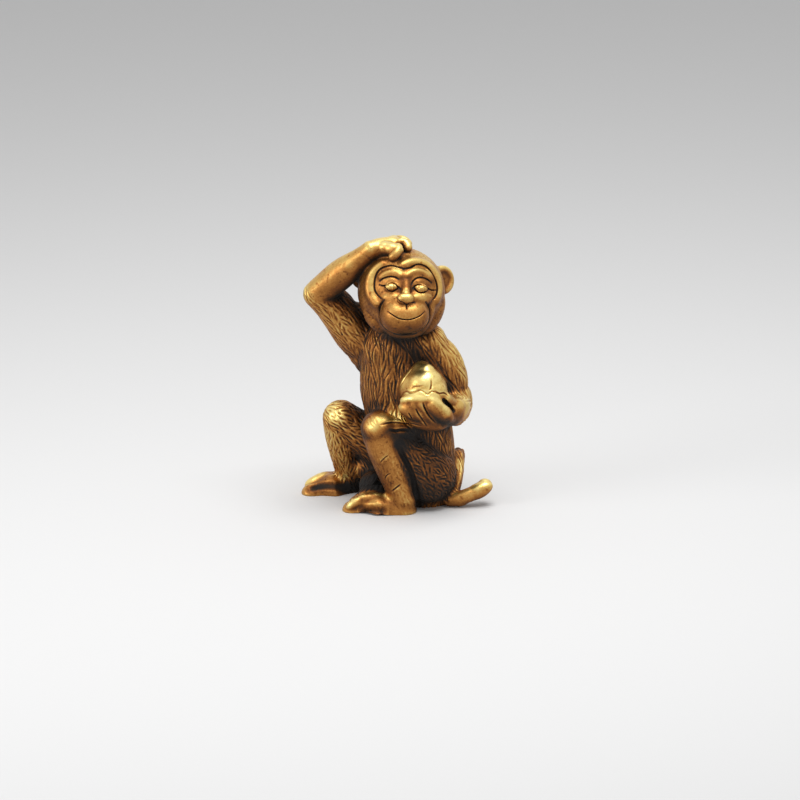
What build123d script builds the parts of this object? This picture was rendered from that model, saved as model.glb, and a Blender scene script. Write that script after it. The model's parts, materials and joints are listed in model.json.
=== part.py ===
"""Seated monkey figurine, a small ornament cast in antique brass.

The monkey squats on its seat and both soles with its knees up. Its right hand rests on its brow,
its left hand holds a peach against the belly, and the tail drops behind the left hip and curls
outwards. The real ornament is one casting. Here each limb, feature and finger is its own closed
solid, cut to fit the larger ones that it grows from, as the wax parts of such a figure are joined.

Frame: millimetres, +Z up, the face looks along -Y, and +X is on the figure's left-hand side. The
origin is the middle of the whole figure's box, on the plane that it stands on.
"""

from build123d import *
from math import asin, cos, degrees, pi, radians, sin
import os

# Which way the body faces, in degrees from -X towards -Y. The figure turns from hips to face.
# Names that end in WAY are directions, and only their proportions count.
HIP_HEADING = 26
CHEST_HEADING = 75
HEAD_YAW = 5
HEAD_PITCH = 16

# Trunk, from the flat seat to the top of the neck.
BELLY_HEIGHT = 11.5
BELLY_LEAN = 0.9
BELLY_BOTTOM_RADIUS = 4.3
BELLY_RADIUS = 4.8
WAIST_RADIUS = 4.8
CHEST_BASE_RADIUS = 5.3
CHEST_BASE_HEIGHT = 12.0
CHEST_BASE_LEAN = 2.9
CHEST_HEIGHT = 22.6
CHEST_LEAN = 4.3
CHEST_RADIUS = 5.6
CHEST_TOP_RADIUS = 5.0
NECK_LENGTH = 5.4
NECK_LEFT = 1.0
NECK_FORWARD = 1.0
NECK_RADIUS = 4.0
NECK_TOP_RADIUS = 3.2

# The web of metal that fills the space between the legs at the ground.
WEB_LENGTH = 7.0
WEB_RADIUS = 3.4
WEB_TIP_RADIUS = 2.4
WEB_HEADING = 8

# Head. Directions on it run from its middle: x to the figure's left, y back, z up.
HEAD_RADIUS = 6.15
HEAD_FORWARD = 1.5
HEAD_LIFT = 3.7

# The bare face sits in a heart-shaped pocket in the furry head. Its half width and half height
# are shares of the head's radius, and its outline is drawn in shares of those.
FACE_RECESS = 0.35
FACE_DEPTH = 4.6
FACE_WIDTH_SHARE = 0.748
FACE_HEIGHT_SHARE = 0.699
FACE_OUTLINE_SHARES = [
    (0.08, 0.72),
    (0.50, 0.90),
    (0.92, 0.46),
    (1.02, -0.05),
    (0.78, -0.60),
    (0.00, -1.10),
    (-0.74, -0.60),
    (-0.94, 0.05),
    (-0.86, 0.55),
    (-0.52, 0.82),
]
MUZZLE_WAY = (0.00, -0.82, -0.60)
MUZZLE_LIFT = -0.3
MUZZLE_HALF_WIDTH = 3.4
MUZZLE_RADIUS = 2.5
NOSE_WAY = (0.0, -1.00, -0.16)
NOSE_LIFT = 0.7
NOSE_HALF_WIDTH = 1.2
NOSE_RADIUS = 0.8
LEFT_EYE_WAY = (0.40, -0.90, 0.05)
RIGHT_EYE_WAY = (-0.31, -0.94, 0.10)
EYE_LIFT = -0.45
EYE_HALF_WIDTH = 1.0
EYE_RADIUS = 0.6

# The raised rim of fur round the face and the two brow ridges: each is a round bar bent over the
# head or the face through three directions, sunk until only its crest stands out.
RIM_RADIUS = 0.75
RIM_LIFT = -0.4
LEFT_RIM_WAYS = [(-0.02, -0.80, 0.60), (0.69, -0.53, 0.49), (0.76, -0.60, -0.25)]
RIGHT_RIM_WAYS = [(-0.47, -0.60, 0.65), (-0.80, -0.55, 0.26), (-0.64, -0.71, -0.30)]
BROW_RADIUS = 0.55
BROW_LIFT = -0.25
LEFT_BROW_WAYS = [(0.08, -0.92, 0.38), (0.37, -0.79, 0.48), (0.67, -0.69, 0.28)]
RIGHT_BROW_WAYS = [(-0.56, -0.75, 0.35), (-0.33, -0.82, 0.46), (-0.08, -0.92, 0.38)]

LEFT_EAR_WAY = (1.00, 0.18, 0.24)
RIGHT_EAR_WAY = (-0.95, 0.45, 0.45)
EAR_TURN = 35
EAR_RADIUS = 2.1
EAR_RIM_RADIUS = 0.5
EAR_WALL = 0.5

# Arms.
SHOULDER_HEIGHT = 23.8
SHOULDER_SPREAD = 4.9
RIGHT_ARM_WAY = (-0.64, -0.23, 0.74)
RIGHT_ARM_LENGTH = 9.6
RIGHT_SHOULDER_RADIUS = 3.2
RIGHT_ARM_RADIUS = 2.5
RIGHT_ELBOW_RADIUS = 2.0
FOREARM_RADIUS = 2.1
WRIST_RADIUS = 1.35
LEFT_ARM_WAY = (0.41, -0.02, -0.89)
LEFT_ARM_LENGTH = 9.9
LEFT_SHOULDER_RADIUS = 2.8
LEFT_ARM_RADIUS = 2.95
LEFT_ELBOW_RADIUS = 2.25
LEFT_FOREARM_RADIUS = 1.9
LEFT_WRIST_RADIUS = 1.7

# Raised right hand. Each place is a share of the head's radius from the middle of the head,
# moved out to the head's surface and then lifted clear of it.
FINGER_NAMES = ["index_finger", "middle_finger", "ring_finger", "little_finger"]
RIGHT_WRIST_WAY = (-0.56, -0.32, 0.77)
PALM_RADIUS = 1.35
PALM_END_RADIUS = 1.2
FINGER_RADIUS = 0.65
HAND_CLEARANCE = 0.2
KNUCKLE_LIFT = 1.1
RIGHT_KNUCKLE_SHARES = [
    (-0.09, -0.53, 0.84),
    (-0.05, -0.33, 0.94),
    (-0.10, -0.13, 0.98),
    (-0.20, 0.07, 0.97),
]
RIGHT_FINGER_BEND_SHARES = [
    (-0.11, -0.64, 0.76),
    (0.06, -0.36, 0.93),
    (0.03, -0.14, 0.98),
    (-0.06, 0.09, 0.99),
]
RIGHT_FINGERTIP_SHARES = [
    (-0.22, -0.68, 0.70),
    (0.12, -0.45, 0.88),
    (0.14, -0.20, 0.97),
    (0.05, 0.10, 0.99),
]

# Peach, and the left hand that cups it. Places by it are shares of its radius from its middle.
PEACH_RADIUS = 3.2
PEACH_POINT_LIFT = 2.7
PEACH_POINT_LEFT = 0.1
PEACH_POINT_RADIUS = 1.35
PEACH_HEIGHT = 18.2
PEACH_FORWARD = 6.2
PEACH_LOBE_WAY = (-0.60, 0.90, 0.10)
PEACH_LOBE_SHIFT = 0.9
LEFT_WRIST_SHARE = (0.80, 0.32, -1.06)
LEFT_PALM_SHARE = (0.28, 0.0, -0.95)
LEFT_PALM_HALF_WIDTH = 3.0
LEFT_PALM_RADIUS = 2.0
LEFT_FINGER_RADIUS = 0.72
LEFT_INDEX_RADIUS = 0.95
LEFT_FINGER_SHARES = [
    [(1.10, -0.22, -1.14), (0.76, -0.70, -0.92), (0.28, -0.98, -0.38)],
    [(0.62, -0.30, -1.46), (0.24, -0.80, -0.96), (-0.16, -0.98, -0.34)],
    [(0.26, -0.30, -1.54), (-0.08, -0.76, -1.02), (-0.46, -0.90, -0.36)],
    [(-0.14, -0.26, -1.46), (-0.44, -0.64, -0.96), (-0.74, -0.72, -0.38)],
]
THUMB_RADIUS = 0.75
THUMB_SHARES = [(1.22, 0.05, -0.62), (0.92, -0.45, -0.18)]

# Legs.
PELVIS_SHIFT = 0.85
HIP_HEIGHT = 4.8
HIP_SPREAD = 3.1
LEFT_THIGH_LENGTH = 10.5
RIGHT_THIGH_LENGTH = 11.8
HIP_RADIUS = 4.0
THIGH_RADIUS = 3.3
KNEE_RADIUS = 2.7
CALF_RADIUS = 2.5
ANKLE_RADIUS = 2.0
LEFT_THIGH_WAY = (-0.66, -0.25, 0.72)
RIGHT_THIGH_WAY = (-0.97, -0.08, 0.68)
LEFT_SHIN_WAY = (0.34, 0.02, -1.05)
RIGHT_SHIN_WAY = (0.12, 0.30, -0.96)
LEFT_FOOT_LENGTH = 7.2
RIGHT_FOOT_LENGTH = 5.8
HEEL_RADIUS = 1.95
HEEL_HEIGHT = 2.1
FOOT_RADIUS = 2.6
TOE_RADIUS = 1.5
TOE_HEIGHT = 1.4
LEFT_FOOT_WAY = (-0.76, 0.05, 0.00)
RIGHT_FOOT_WAY = (-0.55, -0.19, 0.00)

# Tail.
TAIL_RADIUS = 1.05
TAIL_TIP_RADIUS = 1.1
TAIL_REACH = 5.0
TAIL_FALL_SHARES = [
    (0.50, 1.69, -0.46),
    (1.09, 1.33, 0.31),
    (0.95, 0.65, -0.30),
    (0.77, -0.02, -0.95),
]
TAIL_CURL_SHARES = [(0.58, -0.02, 0.16), (1.00, 0.14, 0.36)]

OUT = "parts"


def direction(x, y, z):
    """A unit vector along the given way."""
    return Vector(x, y, z).normalized()


def forward(heading):
    """The level way that a body part with this heading faces."""
    return Vector(-cos(radians(heading)), -sin(radians(heading)), 0)


def leftward(heading):
    """The level way to the figure's left-hand side of a part with this heading."""
    return Vector(sin(radians(heading)), -cos(radians(heading)), 0)


def limb(start, end, start_radius, middle_radius, end_radius):
    """A round form that swells and tapers from start to end, with ball ends."""
    length = (end - start).length
    side = Spline(
        [(start_radius, 0), (middle_radius, length / 2), (end_radius, length)],
        tangents=[(0, 1), (0, 1)],
    )
    tip = RadiusArc(side @ 1, (0, length + end_radius), -end_radius)
    base = RadiusArc((0, -start_radius), side @ 0, -start_radius)
    half = make_face([base, side, tip, Line(tip @ 1, base @ 0)])
    return Plane(origin=start, z_dir=end - start) * revolve(Plane.XZ * half, Axis.Z)


def rim_point(radius, height, angle):
    """The point at this angle on a circle of this radius, centred at a height on the axis."""
    return (radius * cos(angle), height + radius * sin(angle))


def taper(start, end, start_radius, end_radius):
    """Two balls and the cone that touches both."""
    length = (end - start).length
    lean = asin((start_radius - end_radius) / length)
    low = rim_point(start_radius, 0, lean)
    high = rim_point(end_radius, length, lean)
    low_middle = rim_point(start_radius, 0, (lean - pi / 2) / 2)
    high_middle = rim_point(end_radius, length, (lean + pi / 2) / 2)
    base = ThreePointArc((0, -start_radius), low_middle, low)
    tip = ThreePointArc(high, high_middle, (0, length + end_radius))
    half = make_face([base, Line(low, high), tip, Line(tip @ 1, base @ 0)])
    return Plane(origin=start, z_dir=end - start) * revolve(Plane.XZ * half, Axis.Z)


def curl(start, bend, end, radius, end_radius):
    """A round form bent in an arc through three places, with ball ends."""
    path = ThreePointArc(start, bend, end)
    outward = start - path.arc_center
    axis = Axis(path.arc_center, outward.cross(path % 0))
    section = Plane(origin=start, z_dir=path % 0) * Circle(radius)
    bar = revolve(section, axis, degrees(path.length / path.radius))
    return bar + Pos(*start) * Sphere(radius) + Pos(*end) * Sphere(end_radius)


def largest(shape):
    """The biggest solid of a shape."""
    return max(shape.solids(), key=lambda solid: solid.volume)


def near(a, b):
    """Whether two boxes meet."""
    return (
        a.min.X < b.max.X
        and b.min.X < a.max.X
        and a.min.Y < b.max.Y
        and b.min.Y < a.max.Y
        and a.min.Z < b.max.Z
        and b.min.Z < a.max.Z
    )


pieces = {}
boxes = {}


def add(name, shape):
    """Cuts a new piece at the ground and to fit every piece made so far, and keeps it."""
    solid = largest(shape)
    box = solid.bounding_box()
    if box.min.Z < 0:
        solid = largest(split(solid, Plane.XY, keep=Keep.TOP))
    for other in pieces:
        if near(box, boxes[other]):
            solid = largest(solid - pieces[other])
    pieces[name] = solid
    boxes[name] = solid.bounding_box()


# Trunk, in three masses from the flat seat to the neck.
belly_bottom = Vector(0, 0, BELLY_BOTTOM_RADIUS / 2)
belly_top = Vector(-BELLY_LEAN, 0, BELLY_HEIGHT)
chest_base = Vector(-CHEST_BASE_LEAN, 0, CHEST_BASE_HEIGHT)
chest_top = Vector(-CHEST_LEAN, 0, CHEST_HEIGHT)
neck = chest_top + Vector(NECK_LEFT, -NECK_FORWARD, NECK_LENGTH)
add("belly", limb(belly_bottom, belly_top, BELLY_BOTTOM_RADIUS, BELLY_RADIUS, WAIST_RADIUS))
add("chest", limb(chest_base, chest_top, CHEST_BASE_RADIUS, CHEST_RADIUS, CHEST_TOP_RADIUS))
add("neck", limb(chest_top, neck, CHEST_TOP_RADIUS, NECK_RADIUS, NECK_TOP_RADIUS))

# Head and face.
head_middle = neck + Vector(0, -HEAD_FORWARD, HEAD_LIFT)
head_frame = Location(head_middle) * Rot(0, 0, HEAD_YAW) * Rot(-HEAD_PITCH, 0, 0)


def on_head(x, y, z, lift=0.0):
    """The place over the head's surface, at this lift, along a direction in the head's frame."""
    local = direction(x, y, z) * (HEAD_RADIUS + lift)
    return (head_frame * Pos(*local)).position


def face_prism():
    """The heart-shaped outline of the bare face, run back into the head."""
    half_width = FACE_WIDTH_SHARE * HEAD_RADIUS
    half_height = FACE_HEIGHT_SHARE * HEAD_RADIUS
    points = [(x * half_width, z * half_height) for x, z in FACE_OUTLINE_SHARES]
    heart = Plane.XZ * make_face(Spline(points, periodic=True))
    return Pos(0, -HEAD_RADIUS, 0) * extrude(heart, amount=FACE_DEPTH, both=True)


prism = head_frame * face_prism()
head_ball = head_frame * Sphere(HEAD_RADIUS)
face_ball = head_frame * Sphere(HEAD_RADIUS - FACE_RECESS)
add("head", head_ball - prism)
add("face", face_ball & prism)


def feature(way, lift, half_width, radius):
    """A rounded feature with its long way level and its middle at this lift over the head."""
    middle = direction(*way) * (HEAD_RADIUS + lift)
    reach = Vector(half_width - radius, 0, 0)
    return head_frame * taper(middle - reach, middle + reach, radius, radius)


def ridge(ways, lift, radius):
    """A round bar bent over the head."""
    return curl(*[on_head(*way, lift=lift) for way in ways], radius, radius)


add("left_hood_rim", ridge(LEFT_RIM_WAYS, RIM_LIFT, RIM_RADIUS))
add("right_hood_rim", ridge(RIGHT_RIM_WAYS, RIM_LIFT, RIM_RADIUS))
add("left_brow", ridge(LEFT_BROW_WAYS, BROW_LIFT - FACE_RECESS, BROW_RADIUS))
add("right_brow", ridge(RIGHT_BROW_WAYS, BROW_LIFT - FACE_RECESS, BROW_RADIUS))
add("muzzle", feature(MUZZLE_WAY, MUZZLE_LIFT, MUZZLE_HALF_WIDTH, MUZZLE_RADIUS))
add("nose", feature(NOSE_WAY, NOSE_LIFT, NOSE_HALF_WIDTH, NOSE_RADIUS))
add("left_eye", feature(LEFT_EYE_WAY, EYE_LIFT, EYE_HALF_WIDTH, EYE_RADIUS))
add("right_eye", feature(RIGHT_EYE_WAY, EYE_LIFT, EYE_HALF_WIDTH, EYE_RADIUS))


def ear(way, turn):
    """A cupped round ear that stands out from the head."""
    place = direction(*way) * HEAD_RADIUS
    frame = head_frame * Pos(*place) * Rot(0, 0, turn)
    rim = Torus(EAR_RADIUS - EAR_RIM_RADIUS, EAR_RIM_RADIUS)
    web = Cylinder(EAR_RADIUS - EAR_RIM_RADIUS, EAR_WALL)
    return frame * Rot(90, 0, 0) * (rim + web)


add("left_ear", ear(LEFT_EAR_WAY, EAR_TURN))
add("right_ear", ear(RIGHT_EAR_WAY, -EAR_TURN))

# Legs.
pelvis = Vector(-PELVIS_SHIFT, 0, HIP_HEIGHT)
left_hip = pelvis + leftward(HIP_HEADING) * HIP_SPREAD
right_hip = pelvis - leftward(HIP_HEADING) * HIP_SPREAD
left_knee = left_hip + direction(*LEFT_THIGH_WAY) * LEFT_THIGH_LENGTH
right_knee = right_hip + direction(*RIGHT_THIGH_WAY) * RIGHT_THIGH_LENGTH
add("left_thigh", limb(left_hip, left_knee, HIP_RADIUS, THIGH_RADIUS, KNEE_RADIUS))
add("right_thigh", limb(right_hip, right_knee, HIP_RADIUS, THIGH_RADIUS, KNEE_RADIUS))


def ankle_under(knee, way):
    """The ankle below a knee, down the given way to the height of the heel."""
    drop = direction(*way)
    return knee + drop * ((ANKLE_RADIUS - knee.Z) / drop.Z)


left_ankle = ankle_under(left_knee, LEFT_SHIN_WAY)
right_ankle = ankle_under(right_knee, RIGHT_SHIN_WAY)
add("left_shin", limb(left_knee, left_ankle, KNEE_RADIUS, CALF_RADIUS, ANKLE_RADIUS))
add("right_shin", limb(right_knee, right_ankle, KNEE_RADIUS, CALF_RADIUS, ANKLE_RADIUS))
web_start = Vector(0, 0, WEB_TIP_RADIUS)
web_end = web_start + forward(WEB_HEADING) * WEB_LENGTH
add("leg_web", limb(web_start, web_end, WEB_RADIUS, WEB_RADIUS, WEB_TIP_RADIUS))


def foot(ankle, way, length):
    """A long flat foot from the heel under this ankle, on the ground."""
    heel = Vector(ankle.X, ankle.Y, HEEL_HEIGHT - HEEL_RADIUS)
    toes = Vector(ankle.X, ankle.Y, TOE_HEIGHT - TOE_RADIUS) + direction(*way) * length
    return limb(heel, toes, HEEL_RADIUS, FOOT_RADIUS, TOE_RADIUS)


add("left_foot", foot(left_ankle, LEFT_FOOT_WAY, LEFT_FOOT_LENGTH))
add("right_foot", foot(right_ankle, RIGHT_FOOT_WAY, RIGHT_FOOT_LENGTH))

# Raised right arm, from the shoulder out to the elbow and back to the brow.
chest = Vector(-CHEST_LEAN, 0, SHOULDER_HEIGHT)
right_shoulder = chest - leftward(CHEST_HEADING) * SHOULDER_SPREAD
right_elbow = right_shoulder + direction(*RIGHT_ARM_WAY) * RIGHT_ARM_LENGTH
right_wrist = on_head(*RIGHT_WRIST_WAY, lift=WRIST_RADIUS + HAND_CLEARANCE)
add(
    "right_upper_arm",
    limb(right_shoulder, right_elbow, RIGHT_SHOULDER_RADIUS, RIGHT_ARM_RADIUS, RIGHT_ELBOW_RADIUS),
)
add(
    "right_forearm",
    limb(right_elbow, right_wrist, RIGHT_ELBOW_RADIUS, FOREARM_RADIUS, WRIST_RADIUS),
)
knuckles = [on_head(*share, lift=KNUCKLE_LIFT) for share in RIGHT_KNUCKLE_SHARES]
palm_end = (knuckles[0] + knuckles[-1]) * 0.5
add("right_palm", limb(right_wrist, palm_end, WRIST_RADIUS, PALM_RADIUS, PALM_END_RADIUS))
bends = [on_head(*share, lift=KNUCKLE_LIFT) for share in RIGHT_FINGER_BEND_SHARES]
tips = [on_head(*share, lift=FINGER_RADIUS) for share in RIGHT_FINGERTIP_SHARES]
for name, knuckle, bend, tip in zip(FINGER_NAMES, knuckles, bends, tips):
    add(f"right_{name}", curl(knuckle, bend, tip, FINGER_RADIUS, FINGER_RADIUS))

# Peach against the belly, in two lobes.
peach_middle = Vector(0, -PEACH_FORWARD, PEACH_HEIGHT)


def peach_lobe(middle):
    """One rounded lobe that rises to a soft point."""
    point = middle + Vector(PEACH_POINT_LEFT, 0, PEACH_POINT_LIFT)
    return taper(middle, point, PEACH_RADIUS, PEACH_POINT_RADIUS)


add("peach", peach_lobe(peach_middle))
add("peach_back_lobe", peach_lobe(peach_middle + direction(*PEACH_LOBE_WAY) * PEACH_LOBE_SHIFT))


def by_peach(share):
    """A place beside the peach, from its middle in shares of its radius."""
    return peach_middle + Vector(*share) * PEACH_RADIUS


# Left arm, down to the elbow and forward to the hand under the peach.
left_shoulder = chest + leftward(CHEST_HEADING) * SHOULDER_SPREAD
left_elbow = left_shoulder + direction(*LEFT_ARM_WAY) * LEFT_ARM_LENGTH
left_wrist = by_peach(LEFT_WRIST_SHARE)
add(
    "left_upper_arm",
    limb(left_shoulder, left_elbow, LEFT_SHOULDER_RADIUS, LEFT_ARM_RADIUS, LEFT_ELBOW_RADIUS),
)
add(
    "left_forearm",
    limb(left_elbow, left_wrist, LEFT_ELBOW_RADIUS, LEFT_FOREARM_RADIUS, LEFT_WRIST_RADIUS),
)
palm_middle = by_peach(LEFT_PALM_SHARE)
palm_reach = Vector(LEFT_PALM_HALF_WIDTH - LEFT_PALM_RADIUS, 0, 0)
palm_ends = (palm_middle - palm_reach, palm_middle + palm_reach)
add("left_palm", taper(*palm_ends, LEFT_PALM_RADIUS, LEFT_PALM_RADIUS))
for name, spots in zip(FINGER_NAMES, LEFT_FINGER_SHARES):
    base, bend, tip = [by_peach(spot) for spot in spots]
    radius = LEFT_INDEX_RADIUS if name == "index_finger" else LEFT_FINGER_RADIUS
    add(f"left_{name}", curl(base, bend, tip, radius, radius))
thumb_base, thumb_tip = [by_peach(spot) for spot in THUMB_SHARES]
add("left_thumb", taper(thumb_base, thumb_tip, THUMB_RADIUS, THUMB_RADIUS))

# Tail, dropping behind the left hip to the ground and curling outwards. The fall's places are
# shares of the hip's radius from the hip, and the curl's are shares of its reach from the fall.
tail = [left_hip + Vector(*spot) * HIP_RADIUS for spot in TAIL_FALL_SHARES]
tail += [tail[-1] + Vector(*spot) * TAIL_REACH for spot in TAIL_CURL_SHARES]
add("tail_root", taper(tail[0], tail[1], TAIL_RADIUS, TAIL_RADIUS))
add("tail_fall", curl(*tail[1:4], TAIL_RADIUS, TAIL_RADIUS))
add("tail_curl", curl(*tail[3:], TAIL_RADIUS, TAIL_TIP_RADIUS))

# The figure moves so that its box is centred on the origin, and each piece is written out.
ends = list(boxes.values())
middle_x = (min(box.min.X for box in ends) + max(box.max.X for box in ends)) / 2
middle_y = (min(box.min.Y for box in ends) + max(box.max.Y for box in ends)) / 2
bottom = min(box.min.Z for box in ends)
os.makedirs(OUT, exist_ok=True)
for name, solid in pieces.items():
    export_step(Pos(-middle_x, -middle_y, -bottom) * solid, f"{OUT}/{name}.step")
print(f"{len(pieces)} pieces, moved by {-middle_x:.3f}, {-middle_y:.3f}, {-bottom:.3f} mm")
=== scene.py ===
# %% [markdown]
# # A seated monkey cast in antique brass
# The real ornament is one small casting, 40 mm tall. A modeller shaped it in wax, cut the fur and
# the face into the wax with a fine tool, and the foundry cast it, darkened it and polished the
# high places bright. This lesson works in the same order: clay, blending, carving, wear, dividing
# into named pieces, finish, studio.

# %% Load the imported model
import bpy
import json
import math
import numpy as np
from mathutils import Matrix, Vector
from mathutils.bvhtree import BVHTree
from mathutils.kdtree import KDTree

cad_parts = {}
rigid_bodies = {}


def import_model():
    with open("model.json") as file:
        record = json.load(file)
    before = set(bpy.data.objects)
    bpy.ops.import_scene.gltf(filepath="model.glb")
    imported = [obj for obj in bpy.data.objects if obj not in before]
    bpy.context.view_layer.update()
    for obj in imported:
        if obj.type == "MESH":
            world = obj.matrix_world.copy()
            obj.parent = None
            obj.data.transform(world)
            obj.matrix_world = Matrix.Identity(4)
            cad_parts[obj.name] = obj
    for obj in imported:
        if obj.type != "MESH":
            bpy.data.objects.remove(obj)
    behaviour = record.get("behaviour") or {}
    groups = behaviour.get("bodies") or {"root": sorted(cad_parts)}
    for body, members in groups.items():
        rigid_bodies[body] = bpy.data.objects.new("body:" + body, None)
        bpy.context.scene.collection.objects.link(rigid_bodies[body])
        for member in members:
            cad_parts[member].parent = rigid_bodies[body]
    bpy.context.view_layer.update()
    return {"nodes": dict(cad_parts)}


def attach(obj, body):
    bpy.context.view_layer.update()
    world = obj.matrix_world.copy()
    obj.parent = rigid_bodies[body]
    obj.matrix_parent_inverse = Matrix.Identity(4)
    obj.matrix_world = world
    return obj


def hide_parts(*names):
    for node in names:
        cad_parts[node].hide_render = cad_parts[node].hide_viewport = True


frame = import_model()
nodes = frame["nodes"]
MM = 0.001

# %% [markdown]
# The figure is seen from the front, 17 degrees above the floor. Many places are given in that
# view: u runs to the right and w runs up, in millimetres, and the third number says how deep the
# place lies behind the picture.

# %% The front view
TILT = math.radians(17)
ACROSS = np.array([1.0, 0.0, 0.0])
UP = np.array([0.0, math.sin(TILT), math.cos(TILT)])
AWAY = np.array([0.0, math.cos(TILT), -math.sin(TILT)])


def from_view(u, w, depth):
    """The place in the frame, in millimetres, of a place in the front view."""
    return u * ACROSS + w * UP + depth * AWAY


# %% [markdown]
# The clay starts as copies of the CAD solids, so every mass sits where the CAD says. A copy of a
# CAD mesh is loose triangles, so its doubles are merged first.

# %% Clay from the CAD solids
DOUBLE = 0.002


def only(*objects):
    """Deselects everything and selects these objects, the first one active."""
    bpy.ops.object.select_all(action="DESELECT")
    for one in objects:
        one.select_set(True)
    bpy.context.view_layer.objects.active = objects[0]


def clay_copy(name):
    """A copy of a CAD node's mesh as a new object."""
    mesh = nodes[name].data.copy()
    mesh.materials.clear()
    copy = bpy.data.objects.new(f"clay_{name}", mesh)
    bpy.context.scene.collection.objects.link(copy)
    return copy


clay = [clay_copy(name) for name in nodes]
only(*clay)
bpy.ops.object.mode_set(mode="EDIT")
bpy.ops.mesh.select_all(action="SELECT")
bpy.ops.mesh.remove_doubles(threshold=DOUBLE * MM)
bpy.ops.object.mode_set(mode="OBJECT")
print(f"clay: {len(clay)} lumps, {sum(len(one.data.polygons) for one in clay)} triangles")

# %% [markdown]
# More clay goes on where the real figure is fuller than its main solids: the armpit, the outer
# arm, the cheeks, the metal between the legs. Each lump is a ball stretched in edit mode.

# %% Extra clay


def lump(name, start, end, radius):
    """An egg of clay over the line from start to end, in millimetres."""
    start, end = Vector(start), Vector(end)
    bpy.ops.object.select_all(action="DESELECT")
    bpy.ops.mesh.primitive_uv_sphere_add(segments=32, ring_count=16, radius=radius * MM)
    egg = bpy.context.object
    egg.name = f"clay_{name}"
    way = end - start
    bpy.ops.object.mode_set(mode="EDIT")
    bpy.ops.mesh.select_all(action="SELECT")
    stretch = 1 + way.length / (2 * radius)
    bpy.ops.transform.resize(value=(1, 1, stretch))
    bpy.ops.object.mode_set(mode="OBJECT")
    egg.rotation_mode = "QUATERNION"
    egg.rotation_quaternion = way.to_track_quat("Z", "Y")
    egg.location = (start + end) / 2 * MM
    bpy.ops.object.transform_apply(location=True, rotation=True, scale=True)
    return egg


EXTRA_CLAY = {
    "armpit": ((-7.0, 2.9, 25.6), (-4.4, 2.6, 19.8), 1.75),
    "inner_elbow": ((-8.3, 2.4, 29.8), (-6.8, 2.4, 27.6), 1.75),
    "arm_corner": ((-6.4, 2.8, 27.8), (-5.0, 2.2, 28.2), 1.2),
    "outer_arm": ((6.6, 0.5, 22.4), (8.3, 0.4, 17.4), 2.35),
    "elbow": ((8.5, 0.2, 15.9), (8.3, -0.4, 14.2), 2.4),
    "left_cheek": ((5.3, -1.4, 30.3), (4.0, -2.4, 27.6), 1.9),
    "right_cheek": ((-3.3, -2.6, 29.6), (-2.2, -3.2, 27.9), 1.7),
    "chin": ((-0.4, -4.6, 27.0), (2.9, -4.6, 27.0), 1.15),
    "right_jaw": ((-2.3, -4.7, 30.6), (-1.1, -4.9, 27.7), 1.1),
    "left_jaw": ((4.6, -4.6, 30.6), (3.5, -4.9, 27.7), 1.1),
    "nose_bridge": ((1.35, -5.6, 34.3), (1.3, -6.95, 32.9), 0.68),
    "muzzle_right": ((-1.5, -5.6, 31.9), (0.2, -6.3, 32.2), 1.0),
    "muzzle_left": ((2.5, -6.3, 32.2), (4.2, -5.2, 31.9), 1.0),
    "index_base": ((-2.6, -1.7, 38.4), (0.1, -3.2, 38.4), 1.0),
    "peach_point": ((3.9, -4.4, 19.9), (4.2, -4.4, 20.5), 1.5),
    "peach_front": ((3.4, -5.3, 18.0), (4.7, -5.3, 18.2), 2.5),
    "peach_body": ((3.8, -4.7, 18.7), (4.0, -4.7, 19.0), 2.75),
    "hand_heel": ((8.0, -3.6, 15.3), (6.2, -4.6, 14.4), 1.9),
    "hand_mass": ((2.9, -5.2, 14.8), (5.7, -5.2, 14.2), 1.9),
    "hand_front": ((1.9, -6.4, 16.2), (5.3, -6.4, 15.8), 1.7),
    "edge_end": ((1.2, -6.3, 17.4), (2.4, -7.0, 17.8), 0.85),
    "edge_middle": ((2.2, -7.0, 17.8), (4.9, -7.2, 17.7), 1.0),
    "edge_turn": ((4.6, -7.2, 17.7), (5.8, -7.0, 16.8), 1.05),
    "edge_down": ((5.6, -7.0, 16.9), (7.2, -6.2, 15.0), 1.05),
    "wrist": ((8.6, -1.2, 15.2), (7.3, -3.8, 14.7), 2.2),
    "thumb_base": ((7.0, -4.2, 17.0), (7.8, -4.4, 15.6), 1.05),
    "tail_thick": ((8.7, 3.2, 6.2), (7.7, -0.9, 1.3), 1.3),
    "tail_turn": ((7.6, -1.2, 1.2), (9.3, -1.3, 1.0), 1.0),
    "tail_tip": ((10.6, -1.05, 1.8), (12.6, -0.9, 2.75), 1.15),
    "leg_filler": ((-4.2, 4.7, 4.0), (0.5, 3.8, 4.0), 2.4),
    "knee_fill": ((-2.5, -3.9, 12.0), (-1.5, -4.1, 8.6), 2.4),
    "thigh_top": ((-1.6, -3.7, 12.3), (1.4, -2.9, 12.3), 2.05),
    "left_ridge_toe": ((-6.4, -3.8, 1.0), (-5.0, -3.5, 1.7), 0.8),
    "left_ridge": ((-5.2, -3.5, 1.75), (-3.0, -3.3, 2.1), 0.8),
    "left_ridge_heel": ((-3.4, -3.3, 2.1), (-0.8, -3.5, 1.6), 0.85),
    "left_instep": ((-4.2, -1.5, 1.3), (-1.5, -0.5, 2.0), 1.9),
    "left_toes": ((-5.8, -1.8, 0.5), (-4.4, -0.4, 0.8), 1.3),
    "right_ridge_toe": ((-12.2, 6.4, 0.9), (-10.2, 7.2, 1.4), 1.05),
    "right_ridge": ((-11.0, 7.0, 1.25), (-8.2, 7.6, 1.2), 1.3),
}
clay += [lump(name, *egg) for name, egg in EXTRA_CLAY.items()]
print(f"clay: {len(clay)} lumps with the extra ones")

# %% [markdown]
# A voxel Remesh fuses all the lumps into one skin, as wax is fused with a hot knife. Its voxels
# are 0.12 mm wide, fine enough for the fur.

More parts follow.
